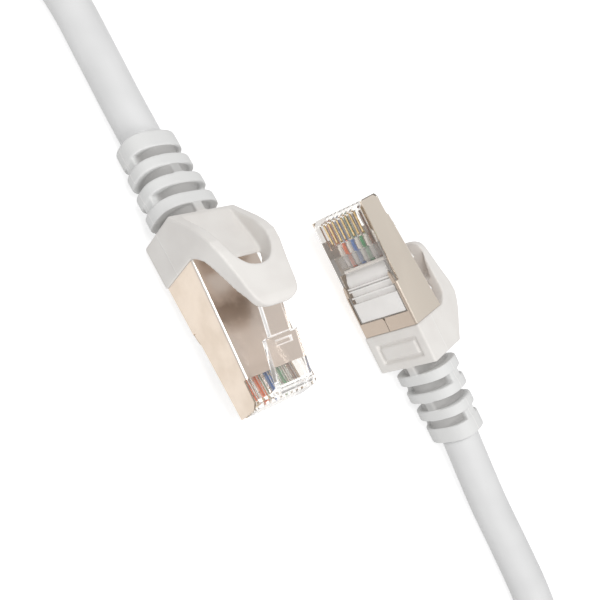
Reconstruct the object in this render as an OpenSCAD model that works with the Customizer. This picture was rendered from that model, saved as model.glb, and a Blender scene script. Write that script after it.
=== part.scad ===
// Shielded ethernet patch cable: two modular plugs with snag-free boots on one short lead.
// Each plug is drawn in its own frame, then laid on the floor plane z = 0.
// Plug frame: +y out of the nose, +z towards the latch, y = 0 at the nose face and
// z = 0 on the contact face of the nose.

/* [Plug] */
// Width of the plug over the shield
plug_w = 11.68; // [11.4:0.01:11.8]
// Height of the plug at the nose
nose_h = 5.4; // [5:0.1:6]
// Height of the plug where the boot starts
rear_h = 7.8; // [7.4:0.1:8.2]
// Length of the plug in front of the boot
plug_l = 21.9; // [21:0.1:23]
// Thickness of the shield's sheet
sheet = 0.3; // [0.2:0.05:0.4]

/* [Contacts and wires] */
// Number of contacts
ways = 8; // [8:8]
// Distance between neighbouring contacts
pitch = 1.02; // [1:0.01:1.04]
// Thickness of a contact blade
blade_t = 0.32; // [0.25:0.01:0.4]
// Diameter of a wire over its insulation
wire_d = 0.94; // [0.8:0.02:0.98]

/* [Latch and guard] */
// Width of the latch between the nose and its shoulders
latch_w = 6.2; // [6:0.1:6.4]
// Width of the latch's tail
tail_w = 3.9; // [3.2:0.1:4.4]
// Thickness of the latch
latch_t = 0.9; // [0.8:0.05:1.1]
// Top of the guard above the contact face
guard_top = 13.4; // [13:0.1:14]

/* [Boot] */
// Width of the boot's block
boot_w = 12.1; // [11.9:0.05:12.3]
// Length of the boot's block
block_l = 7.1; // [6.5:0.1:8]
// Number of strain relief ribs
ribs = 4; // [4:4]
// Rib thickness
rib_l = 1.9; // [1.6:0.1:2.1]
// Gap between ribs
gap_l = 1.6; // [1.4:0.1:1.8]

/* [Cable] */
// Diameter of the jacket
cable_d = 6.5; // [6:0.1:6.8]

/* [Layout] */
// How far each nose is lifted by its stiff strain relief, in degrees
nose_up = 8; // [8:8]
// Plug A: compass turn of its nose from +Y, in degrees
turn_a = 190; // [190:190]
// Plug B: compass turn of its nose from +Y, in degrees
turn_b = 20.5; // [20.5:20.5]

/* [Hidden] */
$fn = 48;
half_w = plug_w / 2;
axis_z = 4;                     // height of the cable's axis above the contact face
block_y = -plug_l;              // front of the boot's block
relief_y = block_y - block_l;   // where the ribs start
end_rib_l = 2.9;
relief_l = ribs * gap_l + (ribs - 1) * rib_l + end_rib_l;
boot_end = relief_y - relief_l; // where the free cable leaves the boot
rib_half_w = [5.5, 5.25, 5.0, 4.7];
rib_half_h = [4.15, 4.05, 3.9, 3.75];
slope = (rear_h - nose_h - 0.35) / (plug_l - 4.1);
deck_y = -4.1;                  // the shield's front edge on the latch face
deck_z = nose_h + 0.35;         // outer height of the shield there
step_y = -14.1;                 // behind it the shield wraps round the contact face
step_z = -0.45;
window_y = -19.4;               // rear edge of the window in the contact face
play = 0.06;                    // clearance between fitted pieces
foot_z = axis_z - rib_half_h[ribs - 1];
latch_pin = [-0.75, nose_h + 0.55];
guard_pin = [block_y - 0.9, rear_h + 0.35];
nose_a = [-15, -16, -boot_end * sin(nose_up) - foot_z * cos(nose_up)];
nose_b = [4.7, 12.6, -boot_end * sin(nose_up) + rib_half_w[ribs - 1] * cos(nose_up)];

// The lead's route over the floor, from plug A to plug B, chosen by hand
lift = cable_d / 2 + 0.02;
lay = [
    [-24.6, 35.5, lift + 0.05], [-26.6, 43.5, lift], [-29.2, 52.9, lift], [-33.3, 61.6, lift],
    [-40.8, 69.1, lift], [-51.2, 72.6, lift], [-62, 71.4, lift], [-71.2, 65.4, lift],
    [-76.8, 56.3, lift], [-78.6, 44.5, lift], [-78.7, 30, lift], [-78.5, 14, lift],
    [-78.3, -2, lift], [-78.5, -18, lift], [-78.7, -34, lift], [-78.1, -49.6, lift],
    [-74.6, -64.2, lift], [-66.3, -76.2, lift], [-54.6, -83.3, lift], [-41.3, -85.6, lift],
    [-26, -85.8, lift], [-10, -85.6, lift], [3, -85.6, lift], [14.4, -83.1, lift],
    [23.5, -76.7, lift], [28.8, -67.4, lift], [29.6, -57.2, lift], [28.3, -48, lift + 0.02],
    [26.6, -39.5, lift + 0.15],
];
rings_between = 2;              // tube rings between two route points
tube_sides = 12;

ways_list = [1 : ways];
fixed_pieces = ["housing", "shield", "load_bar", "inner_mould", "foil", "braid",
    "crimp_ring", "boot", "jacket_end", "latch", "guard"];

// ---- placing -------------------------------------------------------------

function turned(p, a) = [p[0] * cos(a) - p[1] * sin(a), p[0] * sin(a) + p[1] * cos(a), p[2]];
function lifted(p) = [p[0], p[1] * cos(nose_up) - p[2] * sin(nose_up),
    p[1] * sin(nose_up) + p[2] * cos(nose_up)];
function in_a(p) = nose_a + turned(lifted(p), turn_a);
function in_b(p) = nose_b + turned(lifted([p[2], p[1], -p[0]]), turn_b);

// Plug A lies on its contact face, latch up; plug B lies on its side
module place(end) {
    if (end == "a")
        translate(nose_a) rotate([0, 0, turn_a]) rotate([nose_up, 0, 0]) children();
    else
        translate(nose_b) rotate([0, 0, turn_b]) rotate([nose_up, 0, 0])
            rotate([0, 90, 0]) children();
}

// A side outline of [y, z] points, extruded across the plug between two x values
module across(points, x0, x1) {
    translate([x1, 0, 0]) rotate([90, 0, -90]) linear_extrude(x1 - x0)
        polygon([for (p = points) [-p[0], p[1]]]);
}

// A block between two corners
module block(low, high) { translate(low) cube(high - low); }

// A straight round bar along y
module bar(x, z, y0, y1, d) {
    translate([x, y1, z]) rotate([90, 0, 0]) cylinder(d = d, h = y1 - y0);
}

function top_at(y) = y > deck_y ? nose_h : deck_z + slope * (deck_y - y);
function way_x(i) = ((ways + 1) / 2 - i) * pitch;

// ---- tubes along a path --------------------------------------------------

function unit(v) = v / norm(v);
// Point on the smooth curve through p[i] and p[i + 1]
function smooth(p, i, t) =
    let (n = len(p) - 1, a = p[max(i - 1, 0)], b = p[i], c = p[i + 1], d = p[min(i + 2, n)])
    0.5 * (2 * b + (c - a) * t + (2 * a - 5 * b + 4 * c - d) * t * t
        + (3 * b - a - 3 * c + d) * t * t * t);
function smoothed(p, k) = concat(
    [for (i = [0 : len(p) - 2]) for (s = [0 : k - 1]) smooth(p, i, s / k)], [p[len(p) - 1]]);
function along(p, i) = unit(p[min(i + 1, len(p) - 1)] - p[max(i - 1, 0)]);

module tube(path, d, sides, across_axis) {
    last = len(path) - 1;
    points = [for (i = [0 : last])
        let (t = along(path, i), u = unit(cross(across_axis, t)), v = cross(t, u))
        for (s = [0 : sides - 1])
            path[i] + d / 2 * (u * cos(360 * s / sides) + v * sin(360 * s / sides))];
    walls = [for (i = [0 : last - 1]) for (s = [0 : sides - 1])
        let (a = i * sides + s, b = i * sides + (s + 1) % sides)
        each [[a, a + sides, b], [b, a + sides, b + sides]]];
    caps = [[for (s = [0 : sides - 1]) s],
        [for (s = [0 : sides - 1]) last * sides + sides - 1 - s]];
    polyhedron(points, concat(walls, caps), convexity = 6);
}

// ---- plug ----------------------------------------------------------------

// Clear moulded body: combed nose, wire hall behind it and a window in the contact face
module housing(end) color([0.9, 0.92, 0.93, 0.5]) place(end) {
    in_w = half_w - sheet - play;
    cover = sheet + play;
    difference() {
        union() {
            across([[0, 0.5], [-0.5, 0], [step_y, 0], [step_y, -0.1], [block_y, -0.1],
                [block_y, top_at(block_y) - cover], [deck_y, deck_z - cover], [deck_y + 0.2, nose_h],
                [-0.6, nose_h], [0, nose_h - 0.6]], -in_w, in_w);
        }
        // hall that the wires and the mould sit in, open to the boot
        across([[-7.2, 0.9], [block_y - 1, 0.9], [block_y - 1, rear_h - 1.2], [-13, 5.3],
            [-9, 4.4], [-7.2, 3.9]], -5.05, 5.05);
        block([-5.05, window_y, -1], [5.05, -10.2, 1.2]);
        for (i = ways_list) {
            block([way_x(i) - blade_t / 2 - 0.08, -5.2, -1], [way_x(i) + blade_t / 2 + 0.08, -0.75, 3.3]);
            bar(way_x(i), 2.5, -9.5, -1.3, wire_d + 2 * play);
        }
    }
}

// Plated sheet shell: latch face, both sides, and a seamed band across the contact face
module shield(end) color([0.8, 0.75, 0.68]) place(end) {
    side = [[-0.1, 0.4], [-0.1, nose_h - 1.4], [-0.8, nose_h - 0.6], [deck_y, nose_h - 0.3],
        [deck_y, deck_z], [block_y, top_at(block_y)], [block_y, step_z], [step_y, step_z],
        [step_y, 0.4]];
    deck = [[deck_y, deck_z - sheet], [deck_y, deck_z], [block_y, top_at(block_y)],
        [block_y, top_at(block_y) - sheet]];
    union() {
        for (s = [-1, 1]) {
            across(side, s > 0 ? half_w - sheet : -half_w, s > 0 ? half_w : sheet - half_w);
            block([s > 0 ? 5.35 : -half_w, block_y, step_z],
                [s > 0 ? half_w : -5.35, step_y, step_z + sheet]);
            // rear band, its two halves meeting at a seam
            block([s > 0 ? 0.05 : -half_w, block_y, step_z],
                [s > 0 ? half_w : -0.05, window_y, step_z + sheet]);
        }
        across(deck, -half_w, half_w);
    }
}

// Bar with one hole per wire, which holds them in order behind the blades
module load_bar(end) color([0.92, 0.93, 0.95]) place(end) difference() {
    across([[-7.4, 1.2], [-7.4, 3.6], [-9.4, 4.1], [-9.4, 1.2]], -4.6, 4.6);
    for (i = ways_list) bar(way_x(i), 2.5, -10, -7, wire_d + 2 * play);
}

// White sleeve that the wires fan out through, with a raised plate in the window
module inner_mould(end) color([0.92, 0.91, 0.9]) place(end) difference() {
    union() {
        across([[-9.7, 1.3], [-9.7, 4.1], [-12, 4.75], [-19.2, 5.6], [-19.2, 1.3]], -4.75, 4.75);
        across([[-10.3, 1.4], [-11.8, 0.3], [-19.2, 0.1], [-19.2, 1.4]], -4.8, 4.8);
        block([-4.95, -19.2, -0.2], [4.95, -15.7, 0.3]);
        for (y = [-13, -13.5, -14.7]) block([-4.9, y - 0.14, -0.05], [4.9, y + 0.14, 0.3]);
    }
    across([[-9, 1.9], [-9, 3.2], [-12, 3.9], [-14, 4.3], [-20, 4.9], [-20, 1.9]], -4.2, 4.2);
}

// Foil wrapped round the bundle of wires
module foil(end) color([0.82, 0.82, 0.84]) place(end) difference() {
    bar(0, axis_z, -25.4, -22.1, 5.4);
    bar(0, axis_z, -26, -22, 5.1);
}

// Woven screen folded back between the jacket and the crimp ring
module braid(end) color([0.7, 0.7, 0.7]) place(end) difference() {
    bar(0, axis_z, -25.4, -22.3, 6.66);
    bar(0, axis_z, -26, -22, 5.6);
}

// Ring that crimps the braid
module crimp_ring(end) color([0.75, 0.72, 0.68]) place(end) difference() {
    bar(0, axis_z, -25.2, -22.4, 7.3);
    bar(0, axis_z, -26, -22, 6.7);
}

// Straight end of the jacket inside the boot
module jacket_end(end) color([0.87, 0.87, 0.87]) place(end)
    bar(0, axis_z, boot_end, -25.5, cable_d);

// One insulation-piercing blade
module contact(i, end) color([0.85, 0.65, 0.25]) place(end)
    across([[-0.95, 0.7], [-1.3, 0.35], [-4.7, 0.35], [-5, 0.7], [-5, 2.2], [-4.4, 2.2], [-4, 3.2],
        [-3.6, 2.2], [-2.6, 2.2], [-2.2, 3.2], [-1.8, 2.2], [-0.95, 2.2]],
        way_x(i) - blade_t / 2, way_x(i) + blade_t / 2);

wire_rgb = [[0.97, 0.8, 0.7], [0.95, 0.45, 0.15], [0.75, 0.92, 0.8], [0.2, 0.4, 0.8],
    [0.75, 0.85, 0.97], [0.1, 0.6, 0.3], [0.85, 0.76, 0.7], [0.5, 0.3, 0.2]];
// A wire's centre while the wires fan out, share going from 0 in the cable to 1 at the load bar
function fan(i, share, y, z) = [way_x(i) * (0.47 + 0.53 * share), y,
    z + (i % 2 == 0 ? -1 : 1) * 0.75 * (1 - share)];

// One wire from the jacket's end to its blade
module wire(i, end) color(wire_rgb[i - 1]) place(end)
    tube(smoothed([fan(i, 0, -25.4, 4), fan(i, 0, -22.2, 4), fan(i, 0.36, -18.8, 3.5),
        fan(i, 0.72, -15.6, 2.9), fan(i, 1, -12.5, 2.5), fan(i, 1, -11.4, 2.5),
        fan(i, 1, -1.4, 2.5)], 2), wire_d, 8, [1, 0, 0]);

// Height on the leaning latch, y in front of its bend, z there
function lean(y, z) = z - 0.33 * (y + 0.4);

// Springy clear lever, rooted at the nose and leaning back over the body
module latch(end) color([0.92, 0.94, 0.95, 0.5]) place(end) {
    bend_z = nose_h + 2.3;
    shoulder_y = -7.4;
    tail_y = -13.4;
    union() {
        bar_across(latch_pin, latch_w, 0.8);
        across([[-0.35, latch_pin[1]], [-0.1, bend_z - 0.6], [-0.4, bend_z],
            [shoulder_y, lean(shoulder_y, bend_z)], [shoulder_y, lean(shoulder_y, bend_z) - latch_t],
            [-1.3, bend_z - latch_t], [-1.1, latch_pin[1]]], -latch_w / 2, latch_w / 2);
        across([[-4, lean(-4, bend_z)], [tail_y, lean(tail_y, bend_z)],
            [tail_y, lean(tail_y, bend_z) - latch_t], [-4, lean(-4, bend_z) - latch_t]],
            -tail_w / 2, tail_w / 2);
    }
}

// A round bar across the plug at a [y, z] point
module bar_across(at, w, d) {
    translate([-w / 2, at[0], at[1]]) rotate([0, 90, 0]) cylinder(d = d, h = w);
}

// Outline of a rib: flat top and bottom, round sides
module rib_outline(w, h) {
    intersection() {
        circle(r = w);
        square([3 * w, 2 * h], center = true);
    }
}

// Slab with a rib's outline, from y0 back to y1
module rib(w, h, y0, y1) {
    translate([0, y0, axis_z]) rotate([90, 0, 0]) linear_extrude(y0 - y1) rib_outline(w, h);
}

function rib_front(k) = relief_y - gap_l - k * (rib_l + gap_l);

// Soft boot: block round the back of the plug, ramp for the thumb, ribbed strain relief
module boot(end) color([0.88, 0.87, 0.85]) place(end) difference() {
    hw = boot_w / 2;
    front = block_y - 0.05;
    union() {
        across([[front, -0.5], [front, rear_h + 0.1], [front - 1.05, rear_h + 0.2],
            [front - 1.05, guard_top - 3.2], [relief_y + 0.2, 8.5], [relief_y, 8.2], [relief_y, -0.2],
            [relief_y + 0.3, -0.5]], -hw, hw);
        for (s = [-1, 1]) across([[front - 1.05, 8], [front - 1.05, guard_top - 0.8],
            [block_y - 2.6, guard_top - 2], [relief_y + 0.4, 8.3], [relief_y + 0.4, 8]],
            s > 0 ? hw - 1.5 : -hw, s > 0 ? hw : 1.5 - hw);
        for (k = [0 : ribs - 1])
            rib(rib_half_w[k], rib_half_h[k], rib_front(k),
                rib_front(k) - (k == ribs - 1 ? end_rib_l : rib_l));
        bar(0, axis_z, boot_end, relief_y + 0.1, 2 * 3.62);
        // odd gaps are bridged top and bottom, even gaps at the sides
        for (k = [0 : ribs - 1]) {
            back = rib_front(k) - 0.1;
            fore = back + gap_l + 0.2;
            if (k % 2 == 0)
                block([-0.8, back, axis_z - rib_half_h[k]], [0.8, fore, axis_z + rib_half_h[k]]);
            else for (s = [-1, 1])
                block([s > 0 ? 3 : -rib_half_w[k] + 0.2, back, axis_z - 1.3],
                    [s > 0 ? rib_half_w[k] - 0.2 : -3, fore, axis_z + 1.3]);
        }
    }
    bar(0, axis_z, boot_end - 1, relief_y + 1, cable_d + 2 * play);
    bar(0, axis_z, -26, -20, 7.3 + 2 * play);
    // recessed panel on the contact face
    block([-3.4, relief_y + 1.9, -1], [3.4, relief_y + 5, -0.35]);
}

// Flexible guard over the latch: two arms, a thumb dish with a window, and the front pad
module guard(end) color([0.89, 0.88, 0.86]) place(end) {
    root_y = block_y - 1.0;
    front_y = -10.6;
    hw = boot_w / 2;
    tip = 2.2;
    plan = concat([[hw, root_y - 1], [hw, -21.5], [5.3, -17.5], [4.9, -14]],
        [for (a = [0 : 15 : 90]) [4.8 - tip * (1 - cos(a)), front_y - tip * (1 - sin(a))]]);
    difference() {
        intersection() {
            across([[root_y, guard_pin[1] + 0.1], [block_y + 0.6, guard_pin[1] + 0.2],
                [block_y + 1.4, 9.6], [block_y + 2.4, 10.3], [front_y - 0.7, 10.3],
                [front_y, 10.9], [front_y, guard_top - 0.7], [front_y - 0.7, guard_top],
                [-21, guard_top], [root_y, guard_top - 0.7]], -hw, hw);
            translate([0, 0, 5]) linear_extrude(12)
                polygon(concat([for (p = plan) [-p[0], p[1]]],
                    [for (i = [1 : len(plan)]) plan[len(plan) - i]]));
        }
        // room for the latch's tail and the arch under the dish
        across([[front_y + 1, 9], [front_y + 1, 12.3], [-17.2, 12.3], [-17.8, 9.8], [root_y - 1, 8.9],
            [root_y - 1, 7]], -3.7, 3.7);
        // thumb dish
        across([[-18.6, 11], [-18.2, 15], [root_y - 1, 15], [root_y - 1, 10.1]], -4.5, 4.5);
        // window between the dish and the pad
        block([-2.3, -18.9, 8], [2.3, -16.7, 15]);
    }
}

// ---- lead ----------------------------------------------------------------

// The free cable, lying on the floor in one loose loop from boot to boot
module cable() color([0.87, 0.87, 0.87]) {
    from = [0, boot_end, axis_z];
    route = smoothed(concat([in_a(from - [0, 1, 0])], lay, [in_b(from - [0, 1, 0])]), rings_between);
    tube(concat([in_a(from)], route, [in_b(from)]), cable_d, tube_sides, [0, 0, 1]);
}

for (end = ["a", "b"]) {
    housing(end);
    shield(end);
    load_bar(end);
    inner_mould(end);
    foil(end);
    braid(end);
    crimp_ring(end);
    boot(end);
    jacket_end(end);
    latch(end);
    guard(end);
    for (i = ways_list) {
        contact(i, end);
        wire(i, end);
    }
}
cable();
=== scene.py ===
"""Shielded ethernet patch lead: two clear modular plugs, soft boots and one loose cable.

Each plug is made in its own frame, in millimetres: +y out of the nose, +z towards the latch,
y = 0 at the nose face and z = 0 on the contact face. plug_frame() then lays it on the floor.
"""
import math

import bmesh
import bpy
import numpy as np
from mathutils import Matrix, Vector


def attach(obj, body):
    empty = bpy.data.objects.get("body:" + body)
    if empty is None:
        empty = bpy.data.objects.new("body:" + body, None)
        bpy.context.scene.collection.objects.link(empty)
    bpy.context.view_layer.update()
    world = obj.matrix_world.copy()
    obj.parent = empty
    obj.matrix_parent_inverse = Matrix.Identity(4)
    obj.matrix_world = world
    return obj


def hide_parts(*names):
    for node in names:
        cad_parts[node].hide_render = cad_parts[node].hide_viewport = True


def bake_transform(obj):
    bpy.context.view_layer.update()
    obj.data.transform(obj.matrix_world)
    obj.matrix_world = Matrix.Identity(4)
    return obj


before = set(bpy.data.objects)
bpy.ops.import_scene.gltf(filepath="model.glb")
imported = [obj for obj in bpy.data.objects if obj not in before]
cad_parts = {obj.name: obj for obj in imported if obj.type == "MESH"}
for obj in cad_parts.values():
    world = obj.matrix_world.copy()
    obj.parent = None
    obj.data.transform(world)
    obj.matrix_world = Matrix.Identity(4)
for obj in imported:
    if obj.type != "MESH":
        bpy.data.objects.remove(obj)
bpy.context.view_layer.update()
MM = 0.001

# ---- layout ----------------------------------------------------------------

NOSE_UP = math.radians(8)  # the strain relief is stiff, so each nose stands off the floor
AXIS_Z = 4.0  # the cable's axis above the contact face
JACKET_R = 3.25
CLEARANCE = 0.06  # round the cable in the boot, and round each wire in its bore

# along y, from the nose back
DECK_Y, BLOCK_Y, RELIEF_Y = -4.1, -21.9, -29.0  # fronts of the deck, boot block and ribs
BAND_Y = -14.1  # front of the shield's band across the contact face
BOOT_END = -44.0  # where the free cable leaves the boot

# the shielded plug
HALF_W = 5.84  # over the shield
SHEET = 0.3  # the shield's thickness
SHEET_GAP = 0.05  # between the sheet and the clear moulding
BAND_Z = -0.45  # outside of the band
NOSE_H, REAR_H = 5.4, 7.8  # over the clear nose, and over the deck where it meets the boot
DECK_STEP = 0.35  # from the clear nose up to the deck
DECK_RISE = (REAR_H - NOSE_H - DECK_STEP) / (DECK_Y - BLOCK_Y)  # per mm towards the boot
WAYS = range(1, 9)
PITCH, BLADE_T = 1.02, 0.32
WIRE_R, WIRE_Z = 0.47, 2.5  # in the nose, where the wires lie in one row

# the boot
BOOT_HALF_W = 6.05
GUARD_TOP = 13.4
PARTING_Z = 3.72
RIBS = ((5.5, 4.15), (5.25, 4.05), (5.0, 3.9), (4.7, 3.75))  # half width and half height
RIB_STEP, RIB_GAP = 3.5, 1.6
END_RIB_T = 2.9


def plug_frame(x, y, z, turn, on_side):
    """Where a plug lies: its nose at x, y, z in mm, turned from +Y, flat or on its side."""
    lay = Matrix.Rotation(math.radians(90), 4, "Y") if on_side else Matrix.Identity(4)
    return (
        Matrix.Translation((x, y, z))
        @ Matrix.Rotation(math.radians(turn), 4, "Z")
        @ Matrix.Rotation(NOSE_UP, 4, "X")
        @ lay
    )


# the last rib rests on the floor
drop = -BOOT_END * math.sin(NOSE_UP)
end_half_w, end_half_h = RIBS[-1]
PLUGS = {
    "a": plug_frame(-15, -16, drop - (AXIS_Z - end_half_h) * math.cos(NOSE_UP), 190, False),
    "b": plug_frame(4.7, 12.6, drop + end_half_w * math.cos(NOSE_UP), 20.5, True),
}
TO_METRES = Matrix.Scale(MM, 4)


def way_x(i):
    """The i-th wire's and blade's place across the plug."""
    return ((len(WAYS) + 1) / 2 - i) * PITCH


def deck_at(y):
    """The shield's deck rises towards the boot."""
    return NOSE_H + DECK_STEP + DECK_RISE * (DECK_Y - y)


# ---- camera ----------------------------------------------------------------

camera = bpy.data.objects.new("camera", bpy.data.cameras.new("camera"))
bpy.context.collection.objects.link(camera)
camera.data.lens = 43.04
camera.data.sensor_width = 36
camera.data.clip_start = 0.01
right, down, forward = (
    Vector(v).normalized()
    for v in ((0.7597, -0.2866, 0.5837), (-0.0722, -0.9292, -0.3624), (0.6463, 0.2332, -0.7266))
)
camera.matrix_world = Matrix.Translation(Vector((-77.04, -26.7, 88.31)) * MM) @ Matrix(
    (right, -down, -forward)
).transposed().to_4x4()
bpy.context.scene.camera = camera

# ---- tubes -----------------------------------------------------------------


def smooth_route(points, steps):
    """Points on the smooth curve through the given ones, steps to each stretch."""
    p = [np.array(q, float) for q in points]
    out = []
    for i in range(len(p) - 1):
        a, b, c, d = p[max(i - 1, 0)], p[i], p[i + 1], p[min(i + 2, len(p) - 1)]
        for s in range(steps):
            t = s / steps
            out.append(
                0.5
                * (
                    2 * b
                    + (c - a) * t
                    + (2 * a - 5 * b + 4 * c - d) * t * t
                    + (3 * b - a - 3 * c + d) * t**3
                )
            )
    return out + [p[-1]]


def tube(name, path, radius, sides, across):
    """A closed round tube along path. Its UV runs once round in u, and along it in v."""
    bm = bmesh.new()
    uv = bm.loops.layers.uv.new("UVMap")
    rings, run, travelled = [], [], 0.0
    for i, point in enumerate(path):
        along = path[min(i + 1, len(path) - 1)] - path[max(i - 1, 0)]
        along = along / np.linalg.norm(along)
        u = np.cross(across, along)
        u = u / np.linalg.norm(u)
        v = np.cross(along, u)
        travelled += 0 if i == 0 else float(np.linalg.norm(point - path[i - 1]))
        run.append(travelled)
        ring = []
        for s in range(sides):
            angle = 2 * math.pi * s / sides
            ring.append(bm.verts.new(point + radius * (u * math.cos(angle) + v * math.sin(angle))))
        rings.append(ring)
    for i in range(len(rings) - 1):
        for s in range(sides):
            t = (s + 1) % sides
            face = bm.faces.new((rings[i][s], rings[i][t], rings[i + 1][t], rings[i + 1][s]))
            face.smooth = True
            corners = ((s, i), (s + 1, i), (s + 1, i + 1), (s, i + 1))
            for loop, (around, ring_at) in zip(face.loops, corners):
                loop[uv].uv = (around / sides, run[ring_at])
    bm.faces.new(rings[0][::-1])
    bm.faces.new(rings[-1])
    bmesh.ops.recalc_face_normals(bm, faces=bm.faces)
    return from_bmesh(name, bm)


def from_bmesh(name, bm):
    """A new object from a finished bmesh."""
    mesh = bpy.data.meshes.new(name)
    bm.to_mesh(mesh)
    bm.free()
    piece = bpy.data.objects.new(name, mesh)
    bpy.context.collection.objects.link(piece)
    return piece


# ---- the free cable, first of all ------------------------------------------


def on_floor(x, y, lift=0.0):
    """The cable's axis where it lies on the floor, or lift above that."""
    return (x, y, JACKET_R + 0.02 + lift)


def in_plug(end, x, y, z):
    """A point of a plug's own frame where it lies on the floor."""
    return tuple(PLUGS[end] @ Vector((x, y, z)))


LAY = [
    on_floor(-24.6, 35.5, 0.05), on_floor(-26.6, 43.5), on_floor(-29.2, 52.9),
    on_floor(-33.3, 61.6), on_floor(-40.8, 69.1), on_floor(-51.2, 72.6), on_floor(-62, 71.4),
    on_floor(-71.2, 65.4), on_floor(-76.8, 56.3), on_floor(-78.6, 44.5), on_floor(-78.7, 30),
    on_floor(-78.5, 14), on_floor(-78.3, -2), on_floor(-78.5, -18), on_floor(-78.7, -34),
    on_floor(-78.1, -49.6), on_floor(-74.6, -64.2), on_floor(-66.3, -76.2),
    on_floor(-54.6, -83.3), on_floor(-41.3, -85.6), on_floor(-26, -85.8), on_floor(-10, -85.6),
    on_floor(3, -85.6), on_floor(14.4, -83.1), on_floor(23.5, -76.7), on_floor(28.8, -67.4),
    on_floor(29.6, -57.2), on_floor(28.3, -48, 0.02), on_floor(26.6, -39.5, 0.15),
]  # fmt: skip
EXITS = {end: in_plug(end, 0, BOOT_END, AXIS_Z) for end in "ab"}
route = smooth_route(
    [in_plug("a", 0, BOOT_END - 1, AXIS_Z), *LAY, in_plug("b", 0, BOOT_END - 1, AXIS_Z)], 6
)
route = [p * MM for p in (np.array(EXITS["a"]), *route, np.array(EXITS["b"]))]
route_length = sum(float(np.linalg.norm(b - a)) for a, b in zip(route, route[1:]))
cable = tube("cable_jacket", route, JACKET_R * MM, 48, (0, 0, 1))
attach(cable, "lead")
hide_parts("cable")
[c * MM for c in EXITS["a"]]

# ---- finishes --------------------------------------------------------------


class Signal:
    """A value in a finish's node tree. Arithmetic on it adds Math nodes."""

    def __init__(self, finish, socket):
        self.finish, self.socket = finish, socket

    def _math(self, operation, a, b=None):
        values = {0: a} if b is None else {0: a, 1: b}
        return self.finish.add("ShaderNodeMath", {"operation": operation}, values)

    def __add__(self, other):
        return self._math("ADD", self, other)

    def __sub__(self, other):
        return self._math("SUBTRACT", self, other)

    def __rsub__(self, other):
        return self._math("SUBTRACT", other, self)

    def __mul__(self, other):
        return self._math("MULTIPLY", self, other)

    def __truediv__(self, other):
        return self._math("DIVIDE", self, other)

    def __gt__(self, other):
        return self._math("GREATER_THAN", self, other)

    def __lt__(self, other):
        return self._math("LESS_THAN", self, other)

    __radd__, __rmul__ = __add__, __mul__

    def absolute(self):
        return self._math("ABSOLUTE", self)

    def fraction(self):
        return self._math("FRACT", self)

    def ramp(self, low, high):
        """0 at low, 1 at high, smooth between."""
        settings = {"interpolation_type": "SMOOTHSTEP"}
        return self.finish.add("ShaderNodeMapRange", settings, {0: self, 1: low, 2: high})


class Finish:
    """A material with one main shader."""

    def __init__(self, name, **constants):
        self.material = bpy.data.materials.new(name)
        self.material.use_nodes = True
        self.tree = self.material.node_tree
        self.shader = self.tree.nodes["Principled BSDF"]
        for socket, value in constants.items():
            self.shader.inputs[socket.replace("_", " ")].default_value = value

    def add(self, kind, settings=None, values=None, output=0):
        node = self.tree.nodes.new(kind)
        for key, value in (settings or {}).items():
            setattr(node, key, value)
        for socket, value in (values or {}).items():
            if isinstance(value, Signal):
                self.tree.links.new(value.socket, node.inputs[socket])
            else:
                node.inputs[socket].default_value = value
        return Signal(self, node.outputs[output])

    def feed(self, socket, signal):
        self.tree.links.new(signal.socket, self.shader.inputs[socket])

    def place(self):
        """Object coordinates, in metres."""
        return self.add("ShaderNodeTexCoord", output="Object")

    def split(self, vector):
        """Its three numbers."""
        parts = self.add("ShaderNodeSeparateXYZ", values={0: vector})
        return [Signal(self, output) for output in parts.socket.node.outputs]

    def in_plug(self):
        """x, y and z in the plug's own frame, in mm, as the piece's mesh keeps them."""
        name = {"attribute_name": "plug_mm"}
        return self.split(self.add("ShaderNodeAttribute", name, output="Vector"))

    def noise(self, per_mm, detail, stretch=(1, 1, 1)):
        """Cloudy noise with about per_mm lumps to a millimetre."""
        values = {"Vector": self.place(), "Scale": stretch}
        where = self.add("ShaderNodeMapping", {"vector_type": "POINT"}, values)
        values = {"Vector": where, "Scale": per_mm / MM, "Detail": detail, "Roughness": 0.55}
        return self.add("ShaderNodeTexNoise", {}, values)

    def blend(self, factor, first, second):
        settings = {"data_type": "RGBA", "blend_type": "MIX"}
        return self.add("ShaderNodeMix", settings, {0: factor, 6: first, 7: second}, output=2)

    def bump(self, height, distance, strength=1.0):
        values = {"Height": height, "Distance": distance * MM, "Strength": strength}
        self.feed("Normal", self.add("ShaderNodeBump", {}, values))


def tone(red, green, blue):
    """A colour on a 0 to 255 scale, as linear light."""
    return tuple(((c / 255 + 0.055) / 1.055) ** 2.4 for c in (red, green, blue)) + (1.0,)


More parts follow.
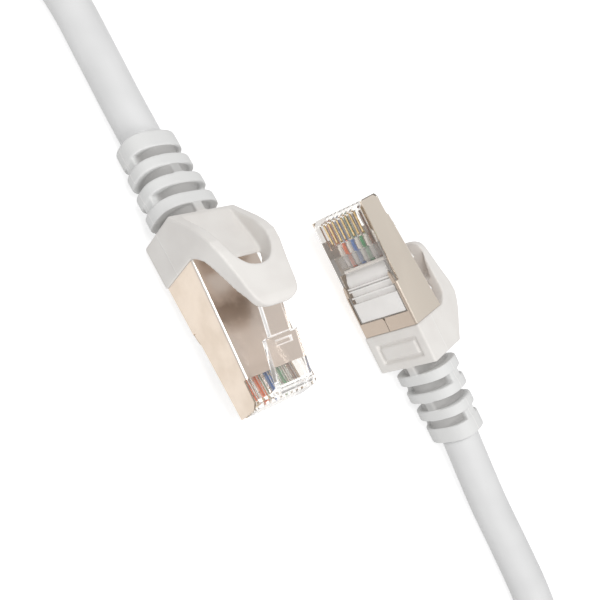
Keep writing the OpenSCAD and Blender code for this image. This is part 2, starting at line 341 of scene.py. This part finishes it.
def soft_vinyl():
    """The boots: matte light-grey vinyl with a fine spark-eroded grain, a parting line and painted
    shade between the ribs.
    """
    f = Finish("boot_vinyl", Specular_IOR_Level=0.4, Sheen_Weight=0.08)
    cloud = f.noise(0.18, 2.0)
    grain = f.noise(9.0, 2.0)
    x, y, z = f.in_plug()
    line = (1 - (z - PARTING_Z).absolute().ramp(0.05, 0.12)) * (x.absolute() > 4.3)
    # between the ribs, down to the tube that joins them, painted shade darkens the vinyl's colour
    gap = ((RELIEF_Y - y) / RIB_STEP).fraction() < RIB_GAP / RIB_STEP
    gap = gap * (y < RELIEF_Y + 0.1) * (y > BOOT_END + 2)
    up = z - AXIS_Z
    shade = (x * x + up * up).ramp(20.0, 12.9) * gap
    vinyl = f.blend(cloud.ramp(0.3, 0.7), tone(221, 217, 213), tone(227, 224, 220))
    vinyl = f.blend(y.ramp(-28.5, -31), vinyl, tone(219, 219, 218))
    vinyl = f.blend(line * 0.6, vinyl, tone(240, 238, 236))
    f.feed("Base Color", f.blend(shade * 0.75, vinyl, tone(150, 148, 146)))
    f.feed("Roughness", 0.5 + 0.16 * grain)
    f.bump(grain * 0.006 + line * 0.05, 1.0, 0.7)
    return f


def satin_jacket():
    """The cable's jacket: satin vinyl, faintly uneven along its length as drawn jackets are."""
    f = Finish("jacket_vinyl", Specular_IOR_Level=0.5, Coat_Weight=0.12, Coat_Roughness=0.25)
    drag = f.noise(0.09, 2.0)
    grain = f.noise(14.0, 1.0)
    f.feed("Base Color", f.blend(drag.ramp(0.3, 0.7), tone(214, 214, 214), tone(222, 222, 222)))
    f.feed("Roughness", 0.38 + 0.12 * drag)
    f.bump(grain * 0.002 + drag * 0.02, 1.0, 0.5)
    return f


def plated_sheet():
    """The shield: satin nickel over brass, a little warm, with a rolled grain and soft clouds; its
    colour also holds a painted dark reflection on the deck, a painted bright reflection on the -x
    flank, painted shade on the band and painted highlights along the bends.
    """
    f = Finish("nickel_plate", Metallic=1.0, Anisotropic=0.3)
    cloud = f.noise(0.22, 3.0)
    rolled = f.noise(3.5, 3.0)
    speck = f.noise(16.0, 2.0)
    x, y, z = f.in_plug()
    from_deck = z - deck_at(y)
    deck = from_deck.ramp(-0.16, -0.05)
    # painted dark reflection: a soft darker patch on the deck around y = -13.6, towards +x
    painted_dark_reflection = ((y + 13.6).absolute().ramp(3.6, 0.6) * x.ramp(-3.0, 1.5)) * cloud.ramp(0.35, 0.6)
    warm = f.blend(cloud.ramp(0.3, 0.7), tone(208, 194, 179), tone(219, 206, 192))
    # painted reflection: the -x flank is paler, in soft clouds
    painted_flank_reflection = (x < -5.7) * cloud.ramp(0.1, 0.3)
    warm = f.blend(painted_flank_reflection, warm, tone(250, 239, 225))
    # painted shade: the band across the contact face is darker
    band = z.ramp(-0.18, -0.3) * 0.85
    warm = f.blend(band, warm, tone(180, 166, 153))
    cool = f.blend(painted_dark_reflection, tone(234, 218, 205), tone(188, 170, 156))
    # painted highlight: a bright line along each bend from the deck down to the flanks
    painted_bend_highlight = x.absolute().ramp(5.44, 5.56) * (1 - x.absolute().ramp(5.72, 5.8))
    painted_bend_highlight = painted_bend_highlight * from_deck.ramp(-0.36, -0.2) * (y < DECK_Y)
    f.feed("Base Color", f.blend(painted_bend_highlight, f.blend(deck, warm, cool), tone(255, 252, 246)))
    f.feed("Roughness", 0.34 + 0.1 * rolled - 0.08 * deck)
    f.bump(speck * 0.004 + rolled * 0.004, 1.0, 0.8)
    return f


def clear_moulding(name, colour, roughness):
    """Clear polycarbonate: glassy, with faint flow lines, and a painted glow: the whole piece
    glows faintly and its rounded edges glow brighter as painted highlights.
    """
    # painted light: with the emission below, the whole piece glows dim grey and its rounded edges
    # glow near white as a painted highlight
    f = Finish(name, Transmission_Weight=1.0, IOR=1.36, Base_Color=colour, Emission_Strength=0.3)
    flow = f.noise(0.5, 2.0)
    painted_rim_highlight = f.add("ShaderNodeAttribute", {"attribute_name": "painted_rim_highlight"}, output="Fac")
    f.feed("Emission Color", f.blend(painted_rim_highlight, tone(104, 101, 98), tone(225, 225, 225)))
    f.feed("Roughness", roughness + 0.03 * flow)
    f.bump(flow * 0.02, 1.0, 0.5)
    return f


def cloudy_insert():
    """The load bar: milky clear plastic."""
    f = Finish("cloudy_plastic", Transmission_Weight=0.85, IOR=1.15)
    haze = f.noise(0.6, 2.0)
    f.feed("Base Color", f.blend(haze, tone(238, 238, 240), tone(248, 248, 248)))
    f.feed("Roughness", 0.08 + 0.1 * haze)
    return f


def white_sleeve():
    """The sleeve round the wires: glossy white plastic."""
    f = Finish("white_sleeve", Specular_IOR_Level=0.6, Coat_Weight=0.3, Coat_Roughness=0.12)
    haze = f.noise(0.3, 2.0)
    f.feed("Base Color", f.blend(haze, tone(228, 225, 222), tone(240, 238, 236)))
    f.feed("Roughness", 0.25 + 0.1 * haze)
    f.bump(haze * 0.05, 1.0, 0.6)
    return f


def gold_flash():
    """The blades: thin gold over nickel."""
    f = Finish("gold_flash", Metallic=1.0)
    wipe = f.noise(2.5, 2.0)
    f.feed("Base Color", f.blend(wipe.ramp(0.3, 0.7), tone(204, 176, 126), tone(226, 204, 164)))
    f.feed("Roughness", 0.18 + 0.14 * wipe)
    return f


def insulation(name, colour, stripe=None):
    """A wire's insulation: plain, or a pale wire with one coloured stripe along it."""
    f = Finish(name, Specular_IOR_Level=0.45)
    haze = f.noise(1.2, 2.0)
    pale = f.blend(haze, tuple(0.86 * c for c in colour[:3]) + (1.0,), colour)
    if stripe:
        around = f.split(f.add("ShaderNodeTexCoord", output="UV"))[0]
        band = 1 - (around - 0.27).absolute().ramp(0.09, 0.12)
        pale = f.blend(band, pale, stripe)
    f.feed("Base Color", pale)
    f.feed("Roughness", 0.4 + 0.15 * haze)
    return f


def woven_screen(name, light, dark, roughness):
    """Foil, braid and crimp metal inside the boot."""
    f = Finish(name, Metallic=1.0)
    weave = f.noise(4.0, 2.0, stretch=(1, 1, 2))
    f.feed("Base Color", f.blend(weave.ramp(0.35, 0.65), dark, light))
    f.feed("Roughness", roughness + 0.15 * weave)
    f.bump(weave * 0.04, 1.0)
    return f


ORANGE, BLUE = tone(238, 108, 48), tone(52, 112, 196)
GREEN, BROWN = tone(34, 150, 84), tone(128, 82, 56)
WHITE = tone(244, 240, 236)
WIRE_COLOURS = [
    (WHITE, ORANGE), (ORANGE, None), (WHITE, GREEN), (BLUE, None),
    (WHITE, BLUE), (GREEN, None), (WHITE, BROWN), (BROWN, None),
]  # fmt: skip

BOOT_VINYL = soft_vinyl()
JACKET_VINYL = satin_jacket()
NICKEL_PLATE = plated_sheet()
CLEAR_HOUSING = clear_moulding("clear_housing", tone(250, 248, 245), 0.04)
CLEAR_LATCH = clear_moulding("clear_latch", tone(250, 249, 248), 0.04)
CLOUDY_INSERT = cloudy_insert()
WHITE_SLEEVE = white_sleeve()
GOLD_FLASH = gold_flash()
FOIL = woven_screen("creased_foil", tone(225, 225, 228), tone(190, 190, 194), 0.25)
BRAID = woven_screen("tinned_braid", tone(205, 205, 206), tone(120, 120, 122), 0.35)
INSULATION = [
    insulation(f"insulation_{i}", colour, stripe)
    for i, (colour, stripe) in enumerate(WIRE_COLOURS, 1)
]

cable.data.materials.append(JACKET_VINYL.material)

# ---- shaping tools ---------------------------------------------------------

AXES = {
    "x": lambda a, b, t: (t, a, b),
    "y": lambda a, b, t: (a, t, b),
    "z": lambda a, b, t: (a, b, t),
}


def solid(outline, axis, low, high):
    """An outline extruded along one axis of the plug, in mm. Outlines are y-z, x-z or x-y."""
    bm = bmesh.new()
    put = AXES[axis]
    near = [bm.verts.new(put(a, b, low)) for a, b in outline]
    far = [bm.verts.new(put(a, b, high)) for a, b in outline]
    bm.faces.new(near)
    bm.faces.new(far[::-1])
    for i in range(len(near)):
        j = (i + 1) % len(near)
        bm.faces.new((near[i], far[i], far[j], near[j]))
    bmesh.ops.recalc_face_normals(bm, faces=bm.faces)
    return from_bmesh("blank", bm)


def block(low, high):
    """A box between two corners."""
    return solid(
        [(low[0], low[1]), (high[0], low[1]), (high[0], high[1]), (low[0], high[1])],
        "z", low[2], high[2],
    )  # fmt: skip


def bar(x, z, y0, y1, radius, sides=48):
    """A round bar along y."""
    turn = [2 * math.pi * s / sides for s in range(sides)]
    return solid([(x + radius * math.cos(a), z + radius * math.sin(a)) for a in turn], "y", y0, y1)


def wire_bores(y0, y1):
    """A bar for every wire's bore."""
    return [bar(way_x(i), WIRE_Z, y0, y1, WIRE_R + CLEARANCE, 20) for i in WAYS]


def mirrored(half):
    """A whole outline from its +x half, listed from rear to front."""
    return half + [(-x, y) for x, y in reversed(half) if x > 1e-6]


def curved(rear, points):
    """An outline, in plan, from its +x half: straight from the rear, then a smooth curve."""
    half = smooth_route(points, 3)
    return mirrored([rear] + [(float(x), float(y)) for x, y in half])


def settle(piece):
    """Applies the piece's modifiers."""
    graph = bpy.context.evaluated_depsgraph_get()
    mesh = bpy.data.meshes.new_from_object(piece.evaluated_get(graph))
    piece.modifiers.clear()
    piece.data = mesh
    return piece


def combine(piece, operation, *others):
    """Joins the others to the piece, cuts them out of it, or keeps what they share."""
    for other in others:
        modifier = piece.modifiers.new("join", "BOOLEAN")
        modifier.operation, modifier.solver, modifier.object = operation, "EXACT", other
    settle(piece)
    for other in others:
        bpy.data.objects.remove(other, do_unlink=True)
    return piece


def carve(piece, *others):
    return combine(piece, "DIFFERENCE", *others)


def weld(piece, *others):
    return combine(piece, "UNION", *others)


def trim(piece, *others):
    return combine(piece, "INTERSECT", *others)


def round_along(piece, picks, radius):
    """Rounds the edges whose middle satisfies picks(x, y, z, direction)."""
    bm = bmesh.new()
    bm.from_mesh(piece.data)
    chosen = []
    for edge in bm.edges:
        middle = (edge.verts[0].co + edge.verts[1].co) / 2
        if picks(*middle, (edge.verts[1].co - edge.verts[0].co).normalized()):
            chosen.append(edge)
    bmesh.ops.bevel(bm, geom=chosen, offset=radius, segments=4, profile=0.5, affect="EDGES")
    bm.to_mesh(piece.data)
    bm.free()


def round_edges(piece, width, segments):
    """A bevel on every sharp edge."""
    bevel = piece.modifiers.new("edges", "BEVEL")
    bevel.width, bevel.segments, bevel.limit_method = width, segments, "ANGLE"
    bevel.angle_limit, bevel.use_clamp_overlap = math.radians(28), True


def soften_clear(piece, edge, segments):
    """Rounds a clear piece's edges and marks the rounded faces, which get a painted highlight in
    the clear finish.
    """

    def facing(face):
        return tuple(round(c, 2) for c in face.normal)

    flat = {facing(face) for face in piece.data.polygons}
    round_edges(piece, edge, segments)
    settle(piece)
    painted_rim_highlight = piece.data.attributes.new("painted_rim_highlight", "FLOAT", "FACE")
    for face in piece.data.polygons:
        painted_rim_highlight.data[face.index].value = facing(face) not in flat


def finish_piece(piece, name, end, finish, nodes, body="lead", edge=0.0, segments=2):
    """Lays a piece made in the plug's frame on the floor, and says what it is."""
    if finish in (CLEAR_HOUSING, CLEAR_LATCH):
        soften_clear(piece, edge, segments)
        edge = 0.0
    piece.name = piece.data.name = name
    mesh = piece.data
    local = mesh.attributes.new("plug_mm", "FLOAT_VECTOR", "POINT")
    local.data.foreach_set("vector", [c for v in mesh.vertices for c in v.co])
    mesh.transform(TO_METRES @ PLUGS[end])
    mesh.materials.clear()
    mesh.materials.append(finish.material)
    if edge:
        round_edges(piece, edge * MM, segments)
        mesh.shade_smooth()
        mesh.set_sharp_from_angle(angle=math.radians(32))
    if body:
        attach(piece, body)
    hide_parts(*nodes)


# ---- plug parts ------------------------------------------------------------


def rib_outline(half_w, half_h):
    """A rib between a circle and a box: flattish above and below, full at the sides."""
    outline = []
    for i in range(48):
        across, rise = math.cos(i * math.pi / 24), math.sin(i * math.pi / 24)
        outline.append((
            half_w * math.copysign(abs(across) ** 0.76, across),
            AXIS_Z + half_h * math.copysign(abs(rise) ** 0.76, rise),
        ))
    return outline


def boot_shell():
    """The boot's block with the guard before it: arms, thumb dish, window and pad."""
    side = [
        (RELIEF_Y, 8.15), (-28.5, 8.45), (-26.4, 10.1), (-24.8, 11.35), (-23.2, 12.35),
        (-21.4, 13.1), (-19.4, GUARD_TOP), (-11.9, GUARD_TOP), (-11.1, 13.2), (-10.65, 12.8),
        (-10.6, 12.3), (-11.1, 12.05), (-12.8, 11.95), (-14.5, 11.3), (-19.2, 10.25),
        (-20.3, 9.85), (-21.2, 9.0), (-21.95, 8.0), (-21.95, -0.5), (-28.7, -0.5),
        (RELIEF_Y, -0.2),
    ]  # fmt: skip
    plan = curved(
        (BOOT_HALF_W, -30.0),
        [(BOOT_HALF_W, -22.6), (5.85, -20.6), (5.35, -18.4), (4.85, -16.2), (4.5, -14.4),
         (4.2, -12.9), (3.7, -11.7), (2.8, -10.95), (1.5, -10.64), (0, -10.58)],
    )  # fmt: skip
    dish = curved(
        (4.4, -31.0),
        [(4.4, -24.2), (4.3, -22.4), (4.0, -20.6), (3.5, -19.1), (2.75, -17.9), (1.6, -17.0),
         (0, -16.65)],
    )  # fmt: skip
    dish_floor = solid(
        [(-31, 8.3), (-28.8, 8.5), (-26.5, 8.8), (-24, 9.35), (-21.8, 9.95), (-20.1, 10.45),
         (-19.6, 10.4), (-19.45, 10.1), (-19.45, 5), (-15, 5), (-15, 17), (-31, 17)],
        "x", -7, 7,
    )  # fmt: skip
    scoop = trim(solid(dish, "z", 4, 18), dish_floor)
    arch = solid(
        [(-9, 7), (-9, 12), (-12.8, 12), (-14.5, 12.25), (-16.4, 12.25), (-17.2, 11.9),
         (-17.6, 11.0), (-17.8, 9.95), (-19.5, 9.65), (-21.6, 9.15), (-22.4, 8.6), (-22.6, 7.9),
         (-22.6, 7)],
        "x", -3.95, 3.95,
    )  # fmt: skip
    piece = trim(solid(side, "x", -BOOT_HALF_W, BOOT_HALF_W), solid(plan, "z", -2, 16))
    bore = bar(0, AXIS_Z, -46, -20, JACKET_R + CLEARANCE)
    panel_line = carve(
        block((-4.3, -27.4, -2), (4.3, -23.8, 0)), block((-3.75, -26.85, -3), (3.75, -24.35, 1))
    )
    return carve(piece, scoop, arch, bore, panel_line)


def strain_relief():
    """A thin tube with four ribs, bridged by turns top and bottom and at the sides."""
    tube_r, bridge_half_w, side_bridge_half_h = 3.62, 0.8, 1.3
    core = bar(0, AXIS_Z, BOOT_END, RELIEF_Y + 0.5, tube_r)
    parts = []
    for k, (half_w, half_h) in enumerate(RIBS):
        front = RELIEF_Y - RIB_GAP - RIB_STEP * k
        thick = END_RIB_T if k == len(RIBS) - 1 else RIB_STEP - RIB_GAP
        parts.append(solid(rib_outline(half_w, half_h), "y", front - thick, front))
        if k % 2 == 0:
            spans, rise = [(-bridge_half_w, bridge_half_w)], half_h
        else:
            spans, rise = [(0.2 - half_w, -3.0), (3.0, half_w - 0.2)], side_bridge_half_h
        for x0, x1 in spans:
            parts.append(block((x0, front - 0.4, AXIS_Z - rise), (x1, front + 2, AXIS_Z + rise)))
    weld(core, *parts)
    return carve(core, bar(0, AXIS_Z, BOOT_END - 2, -20, JACKET_R + CLEARANCE))


def boot(end):
    """Boot and guard in one soft moulding. On the real plug it bends where the guard's arms leave
    the block; here it is one fixed piece.
    """
    piece, relief = boot_shell(), strain_relief()
    bm = bmesh.new()
    for part in (piece, relief):
        bm.from_mesh(part.data)
    bpy.data.objects.remove(relief, do_unlink=True)
    bm.to_mesh(piece.data)
    bm.free()
    fuse = piece.modifiers.new("fuse", "REMESH")
    fuse.mode, fuse.voxel_size, fuse.use_smooth_shade = "VOXEL", 0.17, True
    soften = piece.modifiers.new("soften", "SMOOTH")
    soften.factor, soften.iterations = 0.5, 6
    settle(piece)
    finish_piece(
        piece, f"boot_and_guard_{end}", end, BOOT_VINYL, [f"boot_{end}", f"guard_{end}"],
        body=None,
    )  # fmt: skip
    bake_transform(piece)


def shield(end):
    """Folded sheet round the plug: deck, flanges out to the nose, seamed band below."""
    sheet = solid(
        [(-0.15, 0.4), (-0.15, 3.9), (-0.9, 4.85), (DECK_Y, 5.1), (DECK_Y, deck_at(DECK_Y)),
         (BLOCK_Y, deck_at(BLOCK_Y)), (BLOCK_Y, BAND_Z), (BAND_Y, BAND_Z), (BAND_Y, 0.4)],
        "x", -HALF_W, HALF_W,
    )  # fmt: skip
    round_along(
        sheet,
        lambda x, y, z, d: abs(abs(x) - HALF_W) < 0.01 and abs(d.y) > 0.9
        and (z > 5.5 or z < -0.3),
        0.42,
    )  # fmt: skip
    room_end = BLOCK_Y - 1
    room = solid(
        [(1, -1), (1, 20), (DECK_Y, 20), (DECK_Y, deck_at(DECK_Y) - SHEET),
         (room_end, deck_at(room_end) - SHEET), (room_end, BAND_Z + SHEET),
         (BAND_Y, BAND_Z + SHEET), (BAND_Y, -1)],
        "x", SHEET - HALF_W, HALF_W - SHEET,
    )  # fmt: skip
    round_along(
        room,
        lambda x, y, z, d: abs(abs(x) - HALF_W + SHEET) < 0.01 and abs(d.y) > 0.9
        and (5 < z < 15 or -0.3 < z < 0),
        0.2,
    )  # fmt: skip
    window = block((-5.35, -19.4, -1), (5.35, -14, 0.2))
    seam = block((-0.05, -23, -1), (0.05, -19, 0.2))
    seam_mouth = solid([(-0.45, -19.2), (0.45, -19.2), (0, -20.0)], "z", -1, 0.2)
    carve(sheet, room, window, seam, seam_mouth)
    weld(sheet, shield_tab(-1), shield_tab(1))
    finish_piece(
        sheet, f"folded_shield_{end}", end, NICKEL_PLATE, [f"shield_{end}"],
        edge=0.05,
    )  # fmt: skip


def shield_tab(side):
    """The strip at the window's front corner, curled inwards."""
    curl = [(5.0, -14.3), (5.55, -14.3), (5.5, -13.4), (5.35, -12.5), (5.1, -12.2), (4.9, -12.6)]
    return solid([(side * x, y) for x, y in curl], "z", -0.44, -0.06)


def housing(end):
    """Clear body: combed nose between two cheeks, wire hall and the window behind it."""
    cover = SHEET + SHEET_GAP
    in_w = HALF_W - cover
    body = solid(
        [(0, 1.2), (-0.95, 0), (BAND_Y, 0), (BAND_Y, -0.1), (BLOCK_Y, -0.1),
         (BLOCK_Y, deck_at(BLOCK_Y) - cover), (DECK_Y, deck_at(DECK_Y) - cover),
         (DECK_Y + 0.25, NOSE_H), (-0.6, NOSE_H), (0, NOSE_H - 0.6)],
        "x", -in_w, in_w,
    )  # fmt: skip
    hall = solid(
        [(-7.2, 0.9), (BLOCK_Y - 1, 0.9), (BLOCK_Y - 1, REAR_H - 1.2), (-13, 5.3), (-9, 4.4),
         (-7.2, 3.9)],
        "x", -5.05, 5.05,
    )  # fmt: skip
    window = block((-5.05, -19.4, -1), (5.05, -10.2, 1.2))
    blade_recess = block((-4.3, -5.6, -1), (4.3, -1.1, 0.4))
    cuts = [hall, window, blade_recess]
    slot_half_w = BLADE_T / 2 + 0.08
    for i, bore in zip(WAYS, wire_bores(-9.5, -1.3)):
        x = way_x(i)
        cuts += [block((x - slot_half_w, -5.2, -1), (x + slot_half_w, -0.75, 3.3)), bore]
    carve(body, *cuts)
    finish_piece(
        body, f"clear_housing_{end}", end, CLEAR_HOUSING, [f"housing_{end}"],
        edge=0.12,
    )  # fmt: skip


def latch(end):
    """Clear springy lever with shoulders, a tapering tail and a groove across its root."""
    pin_z, bend_z, thick = NOSE_H + 0.55, NOSE_H + 2.3, 0.9
    shoulder_y, tail_y = -7.4, -13.4

    def top(y):
        """The lever rises towards its tail."""
        return bend_z - 0.33 * (y + 0.4)

    piece = solid(
        [(-0.35, pin_z - 0.4), (-0.15, pin_z), (-0.1, bend_z - 0.6), (-0.4, bend_z),
         (shoulder_y, top(shoulder_y)), (shoulder_y, top(shoulder_y) - thick),
         (-1.3, bend_z - thick), (-1.1, pin_z - 0.4)],
        "x", -3.1, 3.1,
    )  # fmt: skip
    tail = solid(
        [(-4, top(-4)), (tail_y, top(tail_y)), (tail_y, top(tail_y) - thick),
         (-4, top(-4) - thick)],
        "x", -1.95, 1.95,
    )  # fmt: skip
    weld(piece, tail)
    carve(piece, block((-1.45, -6.7, top(-6.3) - 0.38), (1.45, -6.0, 12)))
    finish_piece(
        piece, f"clear_latch_{end}", end, CLEAR_LATCH, [f"latch_{end}"],
        body=f"latch_{end}", edge=0.17, segments=3,
    )  # fmt: skip


def load_bar(end):
    """The milky bar that keeps the wires in line behind the blades."""
    piece = solid([(-7.4, 1.2), (-7.4, 3.6), (-9.4, 4.1), (-9.4, 1.2)], "x", -4.6, 4.6)
    carve(piece, *wire_bores(-10, -7))
    finish_piece(
        piece, f"load_bar_piece_{end}", end, CLOUDY_INSERT, [f"load_bar_{end}"],
        edge=0.08,
    )  # fmt: skip


def inner_mould(end):
    """White sleeve with a lip, two ribs close together, a third, and the raised plate."""
    sleeve = solid(
        [(-9.8, 1.3), (-9.8, 4.2), (-12, 4.75), (-19.2, 5.6), (-19.2, 0.1), (-11.9, 0.3),
         (-10.6, 0.95)],
        "x", -4.6, 4.6,
    )  # fmt: skip
    parts = [block((-4.95, -19.2, -0.3), (4.95, -15.7, 1.2))]
    for y in (-13.0, -13.5, -14.7):
        parts.append(block((-4.8, y - 0.15, -0.15), (4.8, y + 0.15, 0.6)))
    weld(sleeve, *parts)
    wire_room = [(-9, 1.9), (-9, 3.2), (-12, 3.9), (-14, 4.3), (-20, 4.9), (-20, 1.9)]
    carve(sleeve, solid(wire_room, "x", -4.2, 4.2))
    finish_piece(
        sleeve, f"white_sleeve_{end}", end, WHITE_SLEEVE, [f"inner_mould_{end}"],
        edge=0.07,
    )  # fmt: skip


def fan(i, share, y, z):
    """The i-th wire's centre at y, where it has gone share of the way from two rows to one."""
    row = (-1 if i % 2 == 0 else 1) * 0.75 * (1 - share)
    return (way_x(i) * (0.47 + 0.53 * share), y, z + row)


def wire(i, end):
    """One insulated wire, from the boot to the nose."""
    path = smooth_route(
        [fan(i, 0, -25.4, AXIS_Z), fan(i, 0, -22.2, AXIS_Z), fan(i, 0.36, -18.8, 3.5),
         fan(i, 0.72, -15.6, 2.9), fan(i, 1, -12.5, WIRE_Z), fan(i, 1, -11.4, WIRE_Z),
         fan(i, 1, -1.4, WIRE_Z)], 5,
    )  # fmt: skip
    piece = tube("blank", path, WIRE_R - 0.01, 16, (1, 0, 0))
    finish = INSULATION[i - 1]
    finish_piece(piece, f"wire_core_{i}_{end}", end, finish, [f"wire_{i}_{end}"])


for end in "ab":
    boot(end)
    shield(end)
    housing(end)
    latch(end)
    load_bar(end)
    inner_mould(end)
    for i in WAYS:
        wire(i, end)

# CAD nodes that stay, with better finishes
KEPT = {
    "contact": GOLD_FLASH, "foil": FOIL, "braid": BRAID, "crimp_ring": NICKEL_PLATE,
    "jacket_end": JACKET_VINYL,
}  # fmt: skip
for name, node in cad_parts.items():
    for start, finish in KEPT.items():
        if name.startswith(start):
            node.data.materials.clear()
            node.data.materials.append(finish.material)

# ---- floor and light -------------------------------------------------------

bm = bmesh.new()
corners = [(-3, -3, 0), (3, -3, 0), (3, 3, 0), (-3, 3, 0)]
bm.faces.new([bm.verts.new(c) for c in corners])
floor = from_bmesh("floor", bm)
FLOOR = Finish(
    "floor_paper", Roughness=0.9, Specular_IOR_Level=0.1, Base_Color=(0.6, 0.6, 0.6, 1),
    Emission_Color=(1, 1, 1, 1), Emission_Strength=0.6,
)  # fmt: skip
floor.data.materials.append(FLOOR.material)
floor.visible_diffuse = False  # it would light the undersides too strongly


def soft_light(name, watts, size, place, aim):
    """A square white panel, size metres across, turned towards aim."""
    lamp = bpy.data.lights.new(name, "AREA")
    lamp.energy, lamp.size = watts, size
    holder = bpy.data.objects.new(name, lamp)
    bpy.context.collection.objects.link(holder)
    place, aim = Vector(place), Vector(aim)
    holder.matrix_world = (
        Matrix.Translation(place) @ (place - aim).to_track_quat("Z", "Y").to_matrix().to_4x4()
    )


soft_light("overhead", 0.22, 0.1, (-0.075, -0.01, 0.22), (-0.01, 0, 0))
soft_light("side", 0.8, 0.25, (-0.15, -0.5, 0.22), (0, 0, 0))

world = bpy.data.worlds.new("studio")
world.use_nodes = True
bpy.context.scene.world = world
back = world.node_tree.nodes["Background"]
back.inputs["Color"].default_value = (1, 1, 1, 1)
back.inputs["Strength"].default_value = 0.62
bpy.context.scene.view_settings.view_transform = "Standard"
